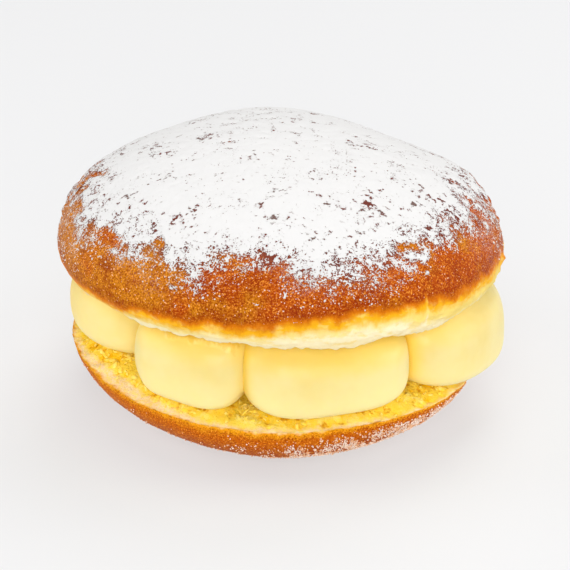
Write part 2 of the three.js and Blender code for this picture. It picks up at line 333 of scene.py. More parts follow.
class StageLooks(PropertyGroup):
    """The floor, the light and the camera."""

    floor: colour_property("Floor", "Pale floor", (144, 144, 145))
    glow: light_property("Glow", "Light that comes up through the floor", 0.55, "NONE")
    sky: light_property("Sky", "Light from all round", 0.15, "NONE")
    front: light_property("Front lamp", "Power of the soft lamp in front", 5.6)
    left: light_property("Left lamp", "Power of the soft lamp at the left", 3.7)
    right: light_property("Right lamp", "Power of the soft lamp at the right", 3.7)
    back: light_property("Back lamp", "Power of the soft lamp high behind", 3.2)
    top: light_property("Top lamp", "Power of the soft lamp overhead", 2.2)
    lamp_size: length_property("Lamp size", "Width of the soft lamps", 600)
    lamp_distance: length_property("Lamp distance", "From the pastry to each lamp", 900)
    distance: length_property("Camera distance", "From the camera to the point it looks at", 450)
    view_width: length_property("View width", "Width of the picture at the point looked at", 129.8)
    elevation: FloatProperty(
        name="Camera elevation", description="How far the camera looks down", subtype="ANGLE",
        default=math.radians(26),
    )
    aim: FloatVectorProperty(
        name="Aim", description="The point that the camera looks at", subtype="TRANSLATION", unit="LENGTH",
        default=(0.793 * MM, 0.022 * MM, 24.3 * MM),
    )


# Shaping

def lumps(points, size, seed):
    """Smooth unevenness of about -1 to 1 at each point, with lumps of the given size."""
    shift = Vector((SEEDS[seed], -SEEDS[seed], 2 * SEEDS[seed]))
    return np.array([noise.noise(Vector(point) / size + shift) for point in points])


def layered(points, seed, *layers):
    """Lumps of several sizes, each given in millimetres with its weight, added up."""
    return sum(weight * lumps(points, size * MM, seed) for size, weight in layers)


def smooth_step(value, low, high):
    """0 below low, 1 above high, and a smooth rise between them."""
    share = np.clip((value - low) / (high - low), 0, 1)
    return share * share * (3 - 2 * share)


def bell(distance, spread):
    """1 at distance 0, fading over the spread."""
    return np.exp(-(distance / spread) ** 2)


def around(bearing, entries):
    """A value at each bearing, read between the listed ones."""
    listed = np.array(entries, float)
    return np.interp(bearing, listed[:, 0], listed[:, 1], period=360)


def turn_from(bearing, middle):
    """Degrees between each bearing and a middle one, the shorter way round."""
    return (bearing - middle + 180) % 360 - 180


def near_side(bearing, side):
    """1 in the middle of a listed side, fading away from it."""
    middle, spread = SIDES[side]
    return bell(turn_from(bearing, middle), spread)


def patches(bearing, climb, entries):
    """The sum of listed patches at each place on the crown."""
    total = np.zeros(len(bearing))
    for middle, height, spread, amount in entries:
        aside = turn_from(bearing, middle) * np.cos(np.radians(climb))
        total += amount * bell(np.hypot(aside, climb - height), spread)
    return total


def crown_place(points):
    """Bearing, climb, radius and height above the cut of points on the crown."""
    local = (points - np.array(CROWN_MIDDLE)) @ np.array(CROWN_TILT.to_matrix())
    radius = np.hypot(local[:, 0], local[:, 1])
    bearing = np.degrees(np.arctan2(local[:, 0], -local[:, 1]))
    climb = np.degrees(np.arctan2((local[:, 2] - CROWN_SKIRT) / CROWN_RISE, radius / CROWN_RADIUS))
    return bearing, climb, radius, local[:, 2]


def base_place(points):
    """Bearing and radius of points on the base."""
    across = points[:, 0] - BASE_MIDDLE.x
    back = points[:, 1] - BASE_MIDDLE.y
    return np.degrees(np.arctan2(across, -back)), np.hypot(across, back)


def merged_copy(node):
    """A bmesh of a solid whose triangles are joined at their corners and paired to quads."""
    shape = bmesh.new()
    shape.from_mesh(frame["nodes"][node].data)
    bmesh.ops.remove_doubles(shape, verts=shape.verts, dist=MERGE_DISTANCE)
    bmesh.ops.join_triangles(
        shape, faces=shape.faces, angle_face_threshold=math.pi, angle_shape_threshold=math.pi,
    )
    return shape


def sharp_edges(shape, angle):
    """The edges of a closed bmesh whose faces meet at more than an angle."""
    return [edge for edge in shape.edges if edge.calc_face_angle() > angle]


def new_piece(name, data):
    """An object for a mesh, a lamp or a camera, in the scene and at the origin."""
    piece = bpy.data.objects.new(name, data)
    bpy.context.scene.collection.objects.link(piece)
    return piece


def grown_copy(node, name, levels, sharp=math.pi):
    """A finely divided, smooth copy of a solid, which keeps the sharp rims."""
    shape = merged_copy(node)
    crease = shape.edges.layers.float.new("crease_edge")
    for edge in sharp_edges(shape, sharp):
        edge[crease] = 1
    mesh = bpy.data.meshes.new(name)
    shape.to_mesh(mesh)
    shape.free()
    piece = new_piece(name, mesh)
    modifier = piece.modifiers.new("Divide", "SUBSURF")
    modifier.levels = levels
    apply_modifiers(piece)
    return piece


def apply_modifiers(piece):
    """Makes the result of a piece's modifiers its mesh."""
    rough = piece.data
    name = rough.name
    evaluated = piece.evaluated_get(bpy.context.evaluated_depsgraph_get())
    fine = bpy.data.meshes.new_from_object(evaluated)
    piece.modifiers.clear()
    piece.data = fine
    bpy.data.meshes.remove(rough)
    fine.name = name


def rows(items, key):
    """Three numbers of each of a mesh's items, one row each."""
    values = np.empty(len(items) * 3)
    items.foreach_get(key, values)
    return values.reshape(-1, 3)


def points_of(mesh):
    """The places of a mesh's vertices."""
    return rows(mesh.vertices, "co")


def normals_of(mesh):
    """The outward directions at a mesh's vertices."""
    return rows(mesh.vertex_normals, "vector")


def set_points(mesh, points):
    """Moves a mesh's vertices."""
    mesh.vertices.foreach_set("co", points.ravel())
    mesh.update()


def store(mesh, **attributes):
    """Keeps numbers at each vertex for the material to read."""
    for name, values in attributes.items():
        attribute = mesh.attributes.new(name, "FLOAT", "POINT")
        attribute.data.foreach_set("value", np.asarray(values, np.float32))


def stored(mesh, name):
    """The numbers that store kept."""
    values = np.empty(len(mesh.vertices), np.float32)
    mesh.attributes[name].data.foreach_get("value", values)
    return values


def finish_piece(piece, material, slot, *nodes):
    """Gives a piece its material, hangs it on the body that it rides on, and hides the solids that it
    replaces.
    """
    piece.data.materials.clear()
    piece.data.materials.append(material)
    piece.data.shade_smooth()
    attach(piece, BODY)
    if nodes:
        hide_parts(*nodes)


# Scattered things

def face_samples(mesh, weight, count, draw):
    """Random places on a mesh of quads and the outward directions there, denser where weight is larger."""
    corners = np.array([face.vertices[:4] for face in mesh.polygons if len(face.vertices) == 4])
    area = np.array([face.area for face in mesh.polygons if len(face.vertices) == 4])
    share = area * weight[corners].mean(axis=1)
    chosen = corners[draw.choice(len(corners), count, p=share / share.sum())]
    pull = draw.dirichlet((1, 1, 1, 1), count)[:, :, None]
    places = (points_of(mesh)[chosen] * pull).sum(axis=1)
    outward = (normals_of(mesh)[chosen] * pull).sum(axis=1)
    return places, outward / np.linalg.norm(outward, axis=1)[:, None]


def frames_along(outward, spin):
    """For each outward direction, a turn that stands a thing on it, spun round by an angle."""
    helper = np.where(np.abs(outward[:, 2:]) < 0.9, (0.0, 0.0, 1.0), (1.0, 0.0, 0.0))
    across = np.cross(helper, outward)
    across /= np.linalg.norm(across, axis=1)[:, None]
    along = np.cross(outward, across)
    first = across * np.cos(spin)[:, None] + along * np.sin(spin)[:, None]
    return np.stack((first, np.cross(outward, first), outward), axis=2)


def strewn(name, mesh, weight, count, size, seed, rounds, vary, stretch, form, tip, rise, uneven):
    """A piece of many small shapes on a mesh, more of them where weight is larger."""
    draw = np.random.default_rng(seed)
    places, outward = face_samples(mesh, weight + LEAST_WEIGHT, count, draw)
    radius = size / 2 * draw.lognormal(0, vary, (count, 1))
    stretches = radius * draw.uniform(1 - stretch, 1 + stretch, (count, 3)) * form
    upright = outward
    if tip:
        upright = outward + draw.normal(0, tip, outward.shape)
        upright /= np.linalg.norm(upright, axis=1)[:, None]
    turns = frames_along(upright, draw.uniform(0, math.tau, count))
    corners, faces = small_shape(rounds)
    bodies = corners * (1 + uneven * draw.uniform(-1, 1, (count, len(corners), 1)))
    bodies = bodies * stretches[:, None, :]
    places = places + outward * radius * rise
    bodies = np.einsum("nij,nkj->nki", turns, bodies) + places[:, None, :]
    offsets = np.arange(count)[:, None, None] * len(corners)
    strewn_mesh = bpy.data.meshes.new(name)
    strewn_mesh.from_pydata(bodies.reshape(-1, 3), [], (faces + offsets).reshape(-1, faces.shape[1]))
    return new_piece(name, strewn_mesh)


def small_shape(rounds):
    """Corners and faces of a lump with radius 1, rounded off some times, or of a blunt crystal."""
    shape = bmesh.new()
    if rounds:
        bmesh.ops.create_icosphere(shape, subdivisions=rounds, radius=1)
    else:
        bmesh.ops.create_cube(shape, size=2)
        bmesh.ops.triangulate(shape, faces=shape.faces)
    shape.verts.index_update()
    corners = np.array([vertex.co for vertex in shape.verts])
    faces = np.array([[vertex.index for vertex in face.verts] for face in shape.faces])
    shape.free()
    return corners, faces


# Materials

class Looks:
    """A material in the making, with short calls for the nodes that it needs."""

    def __init__(self, name, roughness, specular):
        self.material = bpy.data.materials.new(name)
        self.material.use_nodes = True
        self.tree = self.material.node_tree
        self.shader = self.tree.nodes["Principled BSDF"]
        self.set("Roughness", roughness)
        self.set("Specular IOR Level", specular)
        self.place = self.node("TexCoord").outputs["Object"]

    def set(self, socket, value):
        """Sets one of the shader's sockets, or joins a node's output to it."""
        self.feed(self.shader.inputs[socket], value)

    def feed(self, socket, value):
        """Gives a socket a number, a colour or another node's output."""
        if isinstance(value, bpy.types.NodeSocket):
            self.tree.links.new(value, socket)
        elif socket.type == "RGBA":
            socket.default_value = (*value[:3], 1)
        else:
            socket.default_value = value

    def node(self, kind, *values):
        """A new node, with numbers or other nodes' outputs in its first sockets."""
        node = self.tree.nodes.new("ShaderNode" + kind)
        for socket, value in zip(node.inputs, values):
            self.feed(socket, value)
        return node

    def attribute(self, name):
        """A number that the mesh keeps at its vertices."""
        node = self.node("Attribute")
        node.attribute_name = name
        return node.outputs["Fac"]

    def grain(self, size, detail=2, roughness=0.5, tall=1):
        """Unevenness from 0 to 1, with lumps of the given size, which can be taller than wide."""
        shorten = self.node("VectorMath", self.place, (1, 1, 1 / tall))
        shorten.operation = "MULTIPLY"
        node = self.node("TexNoise", shorten.outputs[0])
        for name, number in (("Scale", 1 / size), ("Detail", detail), ("Roughness", roughness)):
            node.inputs[name].default_value = number
        return node.outputs["Fac"]

    def ripple(self, *grain):
        """The same unevenness, from -0.5 to 0.5."""
        return self.sum(self.grain(*grain), -0.5)

    def calculate(self, operation, *values):
        """The result of an operation on numbers or other nodes' outputs."""
        node = self.node("Math", *values)
        node.operation = operation
        return node.outputs[0]

    def sum(self, first, second, weight=1.0):
        """First plus weight times second."""
        return self.calculate("MULTIPLY_ADD", second, weight, first)

    def times(self, first, second):
        """First times second."""
        return self.calculate("MULTIPLY", first, second)

    def spread(self, value, low, high, to_low=0.0, to_high=1.0):
        """A smooth change from to_low to to_high as a value goes from low to high."""
        node = self.node("MapRange", value, low, high, to_low, to_high)
        node.interpolation_type = "SMOOTHSTEP"
        return node.outputs[0]

    def mix(self, share, first, second):
        """The first colour, and the second one where share is 1."""
        node = self.node("Mix", share)
        node.data_type = "RGBA"
        self.feed(node.inputs[6], first)
        self.feed(node.inputs[7], second)
        return node.outputs[2]

    def tint(self, tone, colour, value, low, high, most=1.0):
        """A tone that turns to another colour as a value goes from low to high."""
        return self.mix(self.spread(value, low, high, 0, most), tone, colour)

    def bump(self, height, distance, below=None):
        """Fine relief of the given depth, on top of another one."""
        node = self.node("Bump")
        node.inputs["Distance"].default_value = distance
        self.feed(node.inputs["Height"], height)
        if below:
            self.feed(node.inputs["Normal"], below)
        return node.outputs["Normal"]

    def soften(self, weight, depths, scale):
        """Lets light a little way in."""
        self.set("Subsurface Weight", weight)
        self.set("Subsurface Radius", depths)
        self.set("Subsurface Scale", scale)

    def finish(self, tone, normal):
        """The material, with its colour and its relief."""
        self.set("Base Color", tone)
        self.set("Normal", normal)
        return self.material


def crust_colour(look, crown):
    """Browned crust: broad tones, reddish in places, with a fine dark grain, a fine bright grain that is
    partly painted glints, single bright specks that are partly powder and partly painted glints, and that
    grain.
    """
    broad = look.sum(look.attribute("tan"), look.grain(11 * MM, 3, 0.6))
    tone = look.tint(crown.brown, crown.golden, broad, 0.4, 0.6)
    tone = look.tint(tone, crown.dark, look.grain(7 * MM, 2), 0.52, 0.72, 0.5)
    patchy = look.grain(2.4 * MM, 3, 0.65)
    tone = look.tint(tone, crown.dark, patchy, 0.49, 0.37, 0.45)
    grain = look.grain(crown.pebble, 2, 0.6)
    tone = look.tint(tone, crown.dark, grain, 0.5, 0.36, 0.85)
    # Painted highlights: bright grain and single sparkles, partly painted glints and partly bright grain
    # and powder specks
    bright = look.times(look.spread(grain, 0.53, 0.65, 0, 0.95), look.spread(patchy, 0.4, 0.6, 0.45, 1))
    tone = look.mix(bright, tone, crown.glint)
    single = look.grain(crown.pebble * 1.2, 1, 0.5)
    return look.tint(tone, crown.sparkle, single, 0.68, 0.75, 0.85), grain


def powder_share(look, sugar):
    """How white the powder makes each place: specks that thin out below the sugar's edge."""
    cover = look.sum(look.attribute("cover"), look.ripple(sugar.speck * 5, 5, 0.72), 5.0)
    cover = look.sum(cover, look.ripple(sugar.speck, 2, 0.6), 3.4)
    cover = look.sum(cover, look.ripple(sugar.speck / 2, 1, 0.5), 2.4)
    marks = look.sum(look.attribute("pitted"), look.grain(sugar.pit_size, 3, 0.65))
    holes = look.sum(marks, look.ripple(sugar.pit_size * 5, 2), 0.6)
    cover = look.sum(cover, look.spread(holes, 0.69, 0.725), -4.0)
    # Painted shade: a faint grey halo round each pit, where less powder shows
    solid = look.sum(look.spread(cover, -0.12, 0.18), look.spread(holes, 0.63, 0.7, 0, 0.2), -1.0)
    dust = look.spread(look.grain(sugar.speck * 0.8, 2, 0.7), 0.48, 0.6, 0.0, 1.0)
    haze = look.times(look.attribute("haze"), dust)
    return look.sum(solid, look.times(haze, look.sum(1.0, solid, -1.0)))


def powdered(look, bare, sugar, powder):
    """A colour under powder: it shows at the powder's edge, and pits darkened by painted shade where that
    lies thicker.
    """
    cover = look.attribute("cover")
    # Painted shade: where the powder lies thicker, the crust seen between it and in its pits turns to the
    # dark pit colour
    tone = look.tint(bare, sugar.pit_shade, cover, -0.5, 0.7)
    shaded = look.times(look.spread(cover, 0.6, 1.8), look.spread(look.grain(5 * MM), 0.44, 0.58))
    return look.mix(powder, look.mix(shaded, tone, sugar.shade), sugar.white)


def crown_material(crown, sugar):
    """Crust that fades through amber into the pale torn ring, under specks of powder."""
    look = Looks("crown_crust", 0.5, 0.04)
    crust, grain = crust_colour(look, crown)
    ragged = look.sum(look.attribute("pale"), look.ripple(2.2 * MM, 3), 2.0)
    ragged = look.sum(ragged, look.ripple(1.2 * MM, 3, 0.6, 2), 1.4)
    ring = look.tint(crown.amber, crown.pale, ragged, 0.5, 2.3)
    ring = look.tint(ring, crown.lip, look.sum(ragged, look.attribute("white")), 2.2, 4.8)
    flakes = look.grain(3 * MM, 4, 0.6, 0.5)
    ring = look.tint(ring, crown.pale, flakes, 0.54, 0.36, 0.6)
    # Painted light: the torn lip turns paler towards its lower edge, where it turns under into shade
    low = look.sum(look.attribute("rise"), look.ripple(2.2 * MM, 3), 2.0)
    ring = look.tint(ring, crown.lip, low, 1.2, 0.3, 0.9)
    bare = look.tint(crust, crown.dark, ragged, -4, -1.2, 0.4)
    bare = look.tint(bare, crown.orange, ragged, -1.9, -0.5, 0.8)
    torn = look.spread(ragged, -0.9, 0.7)
    bare = look.mix(torn, bare, ring)
    powder = powder_share(look, sugar)
    look.set("Roughness", look.spread(powder, 0, 1, 0.45, 0.9))
    coarse = look.bump(look.grain(1.4 * MM, 3), 0.25 * MM)
    coarse = look.bump(look.times(torn, flakes), 0.35 * MM, coarse)
    fine = look.bump(grain, 0.16 * MM, coarse)
    return look.finish(powdered(look, bare, sugar, powder), look.bump(powder, 0.08 * MM, fine))


def sugar_material(crown, sugar):
    """Matte white powder, through which the crust shows where it lies thin."""
    look = Looks("powdered_sugar", 0.9, 0.2)
    crust, _ = crust_colour(look, crown)
    powder = powder_share(look, sugar)
    lumpy = look.bump(look.grain(1.4 * MM, 4, 0.6), 0.12 * MM)
    return look.finish(powdered(look, crust, sugar, powder), look.bump(powder, 0.2 * MM, lumpy))


def fleck_material(sugar):
    """Loose clumps of the same powder."""
    look = Looks("powder_flecks", 0.9, 0.2)
    tone = look.tint(sugar.white, sugar.fleck_shade, look.grain(0.5 * MM, 2), 0.35, 0.65, 0.35)
    return look.finish(tone, look.bump(look.grain(0.2 * MM, 2), 0.05 * MM))


def custard_material(custard):
    """Smooth satin custard that lets light in a little."""
    look = Looks("custard", 0.42, 0.35)
    tone = look.tint(custard.cream, custard.rich, look.grain(16 * MM, 3, 0.55), 0.38, 0.66)
    # Painted light on the foot, and painted shade in the deep colour under the crown's lip, on the dim side
    # and in the creases
    tints = (("foot", 0.75, custard.foot), ("beneath", 0.65, custard.deep), ("crease", 0.85, custard.deep))
    for name, most, tint in tints:
        tone = look.mix(look.times(look.attribute(name), most), tone, tint)
    ragged = look.sum(look.attribute("smear"), look.ripple(1.4 * MM, 3, 0.6, 2), 4.0)
    tone = look.tint(tone, custard.dragged, ragged, -0.5, 0.5, 0.7)
    look.set("Roughness", look.spread(look.grain(5 * MM, 3), 0.35, 0.65, 0.36, 0.5))
    look.soften(0.4, WARM_DEPTHS, 2 * MM)
    soft = look.bump(look.grain(6 * MM, 2), 0.25 * MM)
    return look.finish(tone, look.bump(look.grain(0.7 * MM, 2), 0.015 * MM, soft))


def base_material(base):
    """Torn golden crumb, a pale rim, and crust that browns towards the underside."""
    look = Looks("base_crumb_and_crust", 0.6, 0.04)
    fall = look.sum(look.attribute("fall"), look.ripple(2.4 * MM, 3, 0.6), 3.0)
    pores = look.grain(0.8 * MM, 3, 0.65)
    # Painted shade in the crumb's hollows and painted light on its raised parts, following the relief, with
    # random pores
    deep = look.sum(look.attribute("hollow"), look.sum(pores, -0.5), 2.6)
    crumb = look.tint(base.crumb, base.pore, deep, 0.1, 0.9)
    crumb = look.tint(crumb, base.flake, deep, -0.1, -0.8, 0.7)
    # Near the custard the crumb is tinted, partly soaked crumb and partly painted shade
    beside = look.attribute("beside")
    crumb = look.mix(look.times(beside, 0.2), crumb, base.pore)
    # Dark holes, more of them beside the custard and in the hollows: partly torn holes, partly painted
    # shade of pockets
    holes = look.sum(look.sum(look.grain(1.7 * MM, 2, 0.5), beside, 0.08), deep, 0.05)
    crumb = look.tint(crumb, base.hole, holes, 0.6, 0.78, 0.9)
    grain = look.grain(0.36 * MM, 2, 0.6)
    rim = look.tint(base.rim, base.crumb, look.grain(0.9 * MM, 3, 0.65), 0.42, 0.64, 0.6)
    rim = look.tint(rim, base.dark, grain, 0.26, 0.24)
    tone = look.tint(crumb, rim, look.sum(fall, look.attribute("collar")), -0.8, 0.8)
    for tint, low, high in ((base.golden, -0.3, 0.8), (base.orange, 0.5, 2.4), (base.brown, 2.6, 6.5)):
        tone = look.tint(tone, tint, fall, low, high)
    on_crust = look.spread(fall, -0.2, 1.4)
    dark = look.times(look.spread(grain, 0.5, 0.34, 0, 0.85), on_crust)
    tone = look.mix(dark, tone, base.dark)
    # Painted highlights: the bright grain is partly painted glints of the oily crust
    bright = look.times(look.spread(grain, 0.53, 0.7, 0, 0.75), on_crust)
    tone = look.mix(bright, tone, base.glint)
    look.set("Roughness", look.spread(fall, 0, 4, 0.8, 0.5))
    look.soften(0.3, WARM_DEPTHS, 1.5 * MM)
    return look.finish(tone, look.bump(grain, 0.1 * MM, look.bump(pores, 0.32 * MM)))


def shred_material(base):
    """Loose strands of the same crumb."""
    look = Looks("crumb_shreds", 0.8, 0.04)
    tone = look.tint(base.crumb, base.flake, look.grain(1.2 * MM, 3), 0.4, 0.65, 0.7)
    return look.finish(tone, look.bump(look.grain(0.4 * MM, 3), 0.12 * MM))


def crystal_material(base):
    """Clear-white sugar grains with glossy faces."""
    look = Looks("sugar_crystals", 0.25, 0.5)
    look.set("Base Color", look.tint(base.clear, base.warm, look.grain(1.5 * MM, 2), 0.4, 0.6))
    look.soften(0.3, (1.0, 0.9, 0.8), 0.4 * MM)
    return look.material


# Operators

class BERLINER_OT_crown(Operator):
    """Make the upper half, with its crust and the torn pale ring."""

    bl_idname = "berliner.crown"
    bl_label = "Crown"

    def execute(self, context):
        crown = context.scene.berliner_crown
        piece = grown_copy("top_half", "crown", CROWN_LEVELS, CROWN_SHARP)
        mesh = piece.data
        points = points_of(mesh)
        bearing, climb, radius, height = crown_place(points)
        fold = FOLD["rise"] * bell(turn_from(bearing, FOLD["bearing"]), FOLD["spread"])
        edge = around(bearing, CRUST_EDGE) * MM + fold
        pale = (edge - height) / MM + layered(points, "edge", (5, 1), (1.8, 0.3))
        ring = smooth_step(pale, -0.3, 1.2)
        crust = layered(points, "crust", (5, 0.7), (1.8, 0.6))
        torn = layered(points, "torn", (2.6, 1), (1.2, 0.8), (0.8, 0.6))
        aside = turn_from(bearing, NUB["bearing"])
        nub = NUB["rise"] * bell(np.hypot(aside, climb - NUB["climb"]), NUB["spread"])
        lift = crown.relief * crust * (1 - ring) + crown.torn * torn * ring * 0.35 + nub
        rim = bell(height, 1.4 * MM) * smooth_step(radius, CUT_RADIUS - 3 * MM, CUT_RADIUS)
        points += normals_of(mesh) * lift[:, None]
        points[:, 2] += rim * crown.torn * (torn - 0.4)
        set_points(mesh, points)
        cover, pitted, haze = sugar_cover(points)
        store(mesh, pale=pale, white=around(bearing, LIP_WHITE), tan=around(bearing, TAN), rise=height / MM)
        store(mesh, cover=cover, pitted=pitted, haze=haze)
        finish_piece(piece, crown_material(crown, context.scene.berliner_sugar), "crown_dough", "top_half")
        return {"FINISHED"}


def sugar_cover(points):
    """How well powder covers each place on the crown, how pitted it is and how hazy the crust."""
    bearing, climb, _, height = crown_place(points)
    above = climb - around(bearing, SUGAR_EDGE)
    cover = np.where(above > 0, above / COVER_CLIMB, above / around(bearing, SPECK_DEPTH))
    cover = np.clip(cover, COVER_LEAST, COVER_MOST) + patches(bearing, climb, SUGAR_PATCHES)
    patchy = PATCHINESS + SIDE_PATCHINESS * smooth_step(np.abs(bearing), 62, 85)
    cover += layered(points, "sugar", (7, 0.8), (2.6, patchy))
    cover[height < CROWN_SKIRT] = COVER_LEAST
    pitted = 0.05 * smooth_step(above, 24, 4) + patches(bearing, climb, PITTED_PATCHES)
    haze = patches(bearing, climb, HAZE_PATCHES) * (1 + lumps(points, 4 * MM, "crust"))
    return cover, pitted, np.clip(haze, 0, 1)


class BERLINER_OT_powdered_sugar(Operator):
    """Lay powdered sugar on the crown, with its ragged edge and its pits."""

    bl_idname = "berliner.powdered_sugar"
    bl_label = "Powdered sugar"

    def execute(self, context):
        sugar = context.scene.berliner_sugar
        mesh = bpy.data.objects["crown"].data.copy()
        mesh.name = "powdered_sugar_cap"
        points = points_of(mesh)
        cover = stored(mesh, "cover")
        powdery = lumps(points, 1.5 * MM, "sugar") + lumps(points, 4 * MM, "pits")
        full = cover + 0.7
        depth = np.where(full > 0, sugar.thickness * (1 - np.exp(-full / 0.9)), full * 0.3 * MM)
        depth = np.clip(depth, -0.3 * MM, None) + 0.07 * MM * powdery * (full > 0.3)
        set_points(mesh, points + normals_of(mesh) * depth[:, None])
        shape = bmesh.new()
        shape.from_mesh(mesh)
        shape.verts.ensure_lookup_table()
        bare = [face for face in shape.faces if max(depth[v.index] for v in face.verts) < -0.06 * MM]
        bmesh.ops.delete(shape, geom=bare, context="FACES")
        shape.to_mesh(mesh)
        shape.free()
        piece = new_piece("powdered_sugar_cap", mesh)
        wall = piece.modifiers.new("Thickness", "SOLIDIFY")
        wall.thickness = 0.45 * MM
        wall.offset = -1
        apply_modifiers(piece)
        material = sugar_material(context.scene.berliner_crown, sugar)
        finish_piece(piece, material, "powdered_sugar", "powdered_sugar")
        return {"FINISHED"}


class BERLINER_OT_powder_flecks(Operator):
    """Scatter loose flecks of powder over the bare crust of the crown."""

    bl_idname = "berliner.powder_flecks"
    bl_label = "Powder flecks"

    def execute(self, context):
        sugar = context.scene.berliner_sugar
        mesh = bpy.data.objects["crown"].data
        points = points_of(mesh)
        cover = stored(mesh, "cover")
        bare = near_side(crown_place(points)[0], "bare")
        clumps = smooth_step(lumps(points, 3 * MM, "flecks"), -0.1, 0.4)
        near = smooth_step(cover, -2.2, -0.2) * smooth_step(cover, 1.0, 0.2)
        weight = near * (0.15 + clumps) * (1 - 0.8 * bare) * (stored(mesh, "pale") < 0)
        piece = strewn("powder_flecks", mesh, weight, sugar.flecks, sugar.fleck, **FLECKS)
        finish_piece(piece, fleck_material(sugar), "powdered_sugar")
        return {"FINISHED"}


class BERLINER_OT_custard(Operator):
    """Make the piped dollops of custard."""

    bl_idname = "berliner.custard"
    bl_label = "Custard"

    def execute(self, context):
        custard = context.scene.berliner_custard
        material = custard_material(custard)
        nodes = sorted(name for name in frame["nodes"] if name.startswith("custard_dollop_"))
        pieces = []
        for number, (node, share, tuck) in enumerate(zip(nodes, PRESS_SHARES, TUCKS), 1):
            piece = grown_copy(node, f"custard_{number}", DOLLOP_LEVELS)
            self.shape_dollop(piece.data, custard, share, tuck * MM, number == SMEARED)
            finish_piece(piece, material, "custard", node)
            pieces.append(piece)
        for index in range(len(pieces)):
            self.tint_dollop(pieces, index)
        return {"FINISHED"}

    def shape_dollop(self, mesh, custard, share, tuck, smeared):
        """Presses a dollop against its neighbours and out below the crown's lip, and tucks in its foot."""
        points = points_of(mesh)
        low = points[:, 2].min()
        bearing, _, radius, height = crown_place(points)
        turn, half = dollop_turn(points)
        drag = (2.6 + 2.4 * lumps(points, 3 * MM, "smear")) * MM - 9 * MM * (not smeared)
        dragged = smooth_step(height + drag, -0.3 * MM, 0.3 * MM)
        squeezed = smooth_step(height, -3.5 * MM, -0.5 * MM)
        outer = smooth_step(radius, 30 * MM, 44 * MM)
        lift = custard.swell + (custard.smear * dragged + custard.squeeze * squeezed) * outer
        # Painted shade below the crown's lip, least on the open side, and over the whole dim side; painted
        # light on the foot, lighter towards its bottom
        beneath = smooth_step(-height, 8 * MM, 1.5 * MM) * (1 - 0.85 * near_side(bearing, "open"))
        beneath = np.maximum(beneath, 0.9 * near_side(bearing, "dim"))
        foot = smooth_step(points[:, 2], low + FOOT_TINT, low)
        store(mesh, smear=(height + drag) / MM, beneath=beneath, foot=foot)
        points += normals_of(mesh) * lift[:, None]
        above = 0.45 + 0.55 * smooth_step(points[:, 2], low + 1 * MM, low + FOOT_PRESS)
        aside = custard.press * share * above * np.sign(turn) * smooth_step(np.abs(turn) / half, 0.6, 1)
        aside += tuck * smooth_step(-turn / half, 0, 0.8) * smooth_step(points[:, 2], low + FOOT_TUCK, low)
        points[:, 0] += np.cos(np.radians(bearing)) * aside
        points[:, 1] += np.sin(np.radians(bearing)) * aside
        set_points(mesh, points)

    def tint_dollop(self, pieces, index):
        """Notes painted shade for the creases: how near each place is to a neighbouring dollop, most where
        the neighbour lies over it.
        """
        mesh = pieces[index].data
        points = points_of(mesh)
        crease = np.zeros(len(points))
        for other in (index - 1, (index + 1) % len(pieces)):
            over = 1 if PRESS_SHARES[other] > PRESS_SHARES[index] else 0.25
            gap = nearest(points, points_of(pieces[other].data))
            crease = np.maximum(crease, over * bell(gap, CREASE_REACH))
        store(mesh, crease=crease)


def nearest(points, targets):
    """Distance from each place to the nearest target."""
    tree = KDTree(len(targets))
    for number, target in enumerate(targets):
        tree.insert(target, number)
    tree.balance()
    return np.array([tree.find(point)[2] for point in points])


def dollop_turn(points):
    """Degrees of a dollop's places from its middle bearing, and of its flanks."""
    bearing, radius = base_place(points)
    outer = radius > 0.8 * radius.max()
    middle = math.degrees(math.atan2(points[outer, 0].mean(), -points[outer, 1].mean()))
    turn = turn_from(bearing, middle)
    return turn, np.abs(turn[outer]).max()


class BERLINER_OT_base(Operator):
    """Make the lower half, with its torn crumb, pale rim and crust."""

    bl_idname = "berliner.base"
    bl_label = "Base"

    def execute(self, context):
        base = context.scene.berliner_base
        rim_bearing, rim_radius, rim_height = base_rim()
        piece = grown_copy("bottom_half", "base", BASE_LEVELS, BASE_SHARP)
        mesh = piece.data
        points = points_of(mesh)
        normals = normals_of(mesh)
        bearing, radius = base_place(points)
        inset = np.interp(bearing, rim_bearing, rim_radius, period=360) - radius
        below = np.interp(bearing, rim_bearing, rim_height, period=360) - points[:, 2]
        cut = smooth_step(normals[:, 2], 0.35, 0.75)
        fall = np.where(normals[:, 2] > 0.5, -inset, below * around(bearing, BROWNING)) / MM
        fall += around(bearing, CRUST_REACH)
        torn = layered(points, "crumb", (3.4, 1), (1.5, 0.8))
        crust = layered(points, "crust", (6, 1), (1.8, 0.5))
        resting = smooth_step(points[:, 2], 0.2 * MM, 1.5 * MM)
        points[:, 2] += cut * base.slope * (smooth_step(inset, -0.5 * MM, 6 * MM) - 0.4)
        beside = from_custard(points)
        points[:, 2] += cut * base.fillet * bell(beside, CRUMB_RISE)
        lift = base.relief * (torn - 0.25) * cut + 0.12 * MM * crust * (1 - cut) * resting
        set_points(mesh, points + normals * lift[:, None])
        beside = bell(beside, CRUMB_TINT)
        store(mesh, fall=fall, hollow=-torn, collar=around(bearing, COLLAR), beside=beside)
        finish_piece(piece, base_material(base), "base_dough", "bottom_half")
        return {"FINISHED"}


def from_custard(points):
    """Distance from each place to the nearest custard."""
    dollops = [bpy.data.objects[f"custard_{number}"].data for number in range(1, len(PRESS_SHARES) + 1)]
    return nearest(points, np.concatenate([points_of(mesh) for mesh in dollops]))


